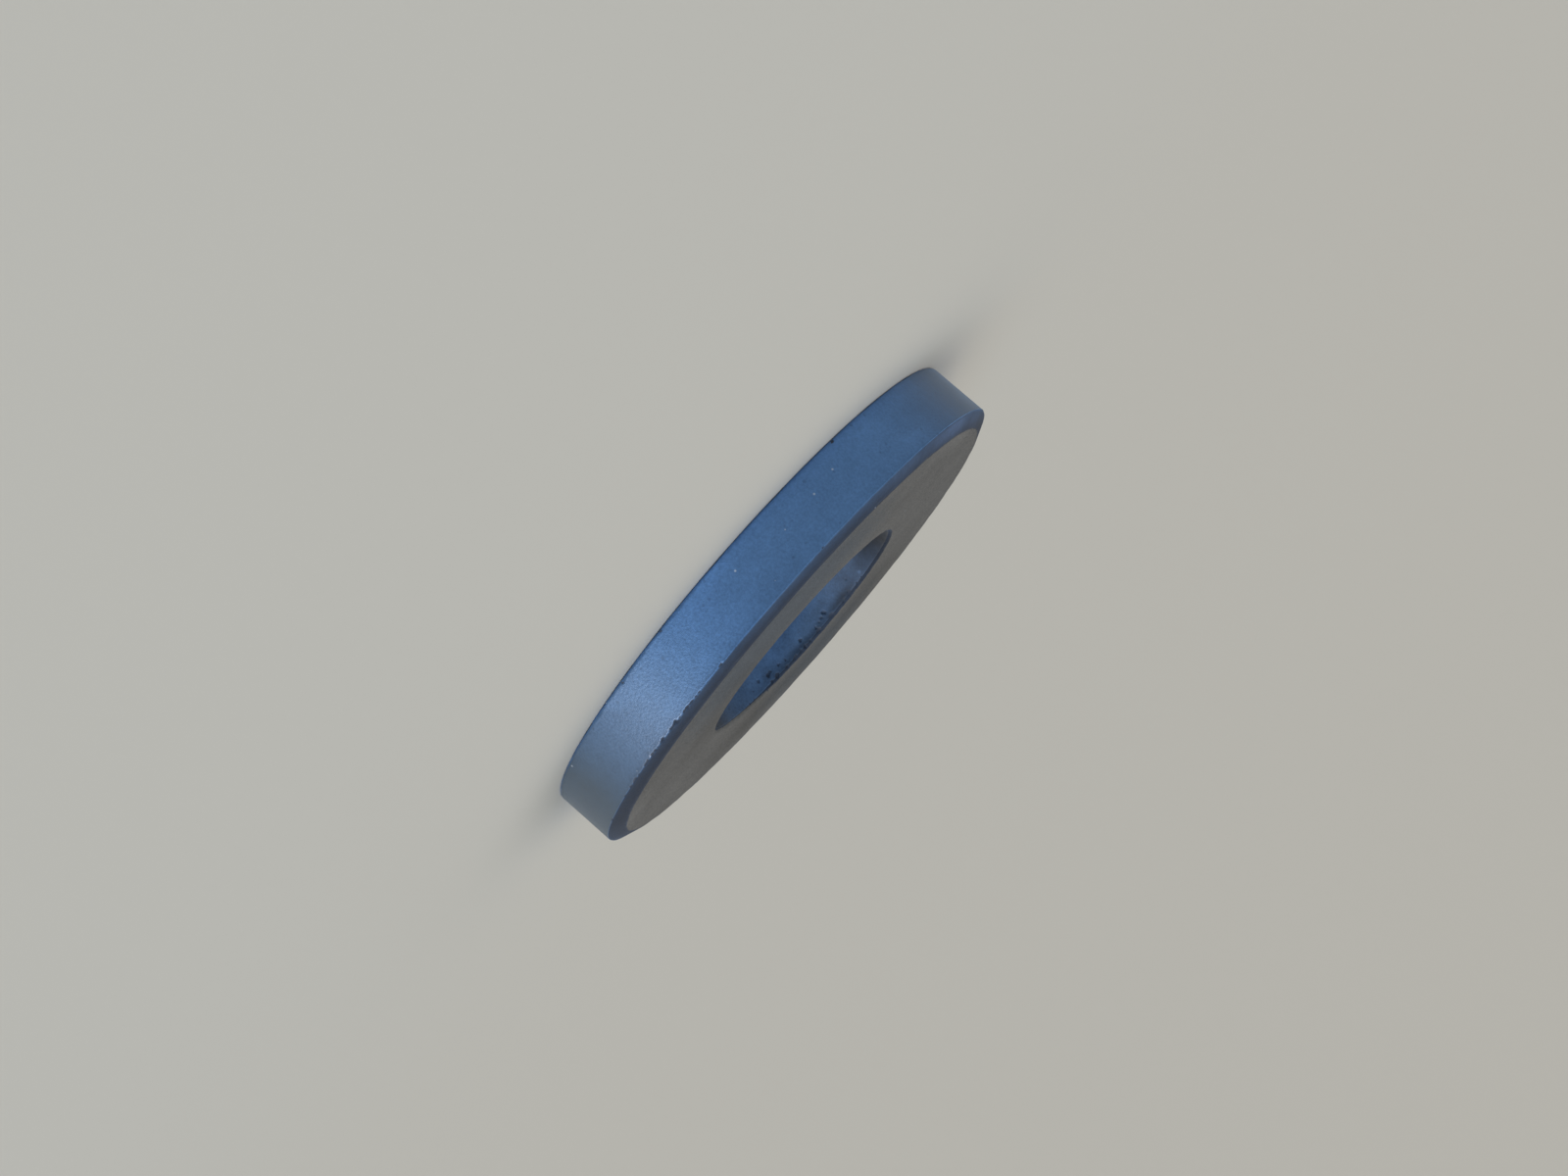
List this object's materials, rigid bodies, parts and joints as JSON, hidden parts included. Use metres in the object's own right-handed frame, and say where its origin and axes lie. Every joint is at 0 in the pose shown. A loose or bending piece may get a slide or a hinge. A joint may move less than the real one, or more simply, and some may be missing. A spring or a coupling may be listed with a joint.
{
  "type": "oil pan magnet",
  "caption": "Flat ring of sintered ferrite with a bevelled rim, laid in an oil pan over a boss to hold steel wear particles.",
  "frame": {"origin": "centre of the back face, which lies flat on the surface below", "axes": "+Z is the ring's axis and points out of the bevelled front face"},
  "size_m": [0.0446, 0.0446, 0.0056],
  "materials": {
    "ferrite": "matte ground ferrite faces, darker as-sintered rim, bevel and bore with a soft sheen"
  },
  "bodies": {
    "root": {"ring_magnet": "ferrite"}
  },
  "joints": []
}
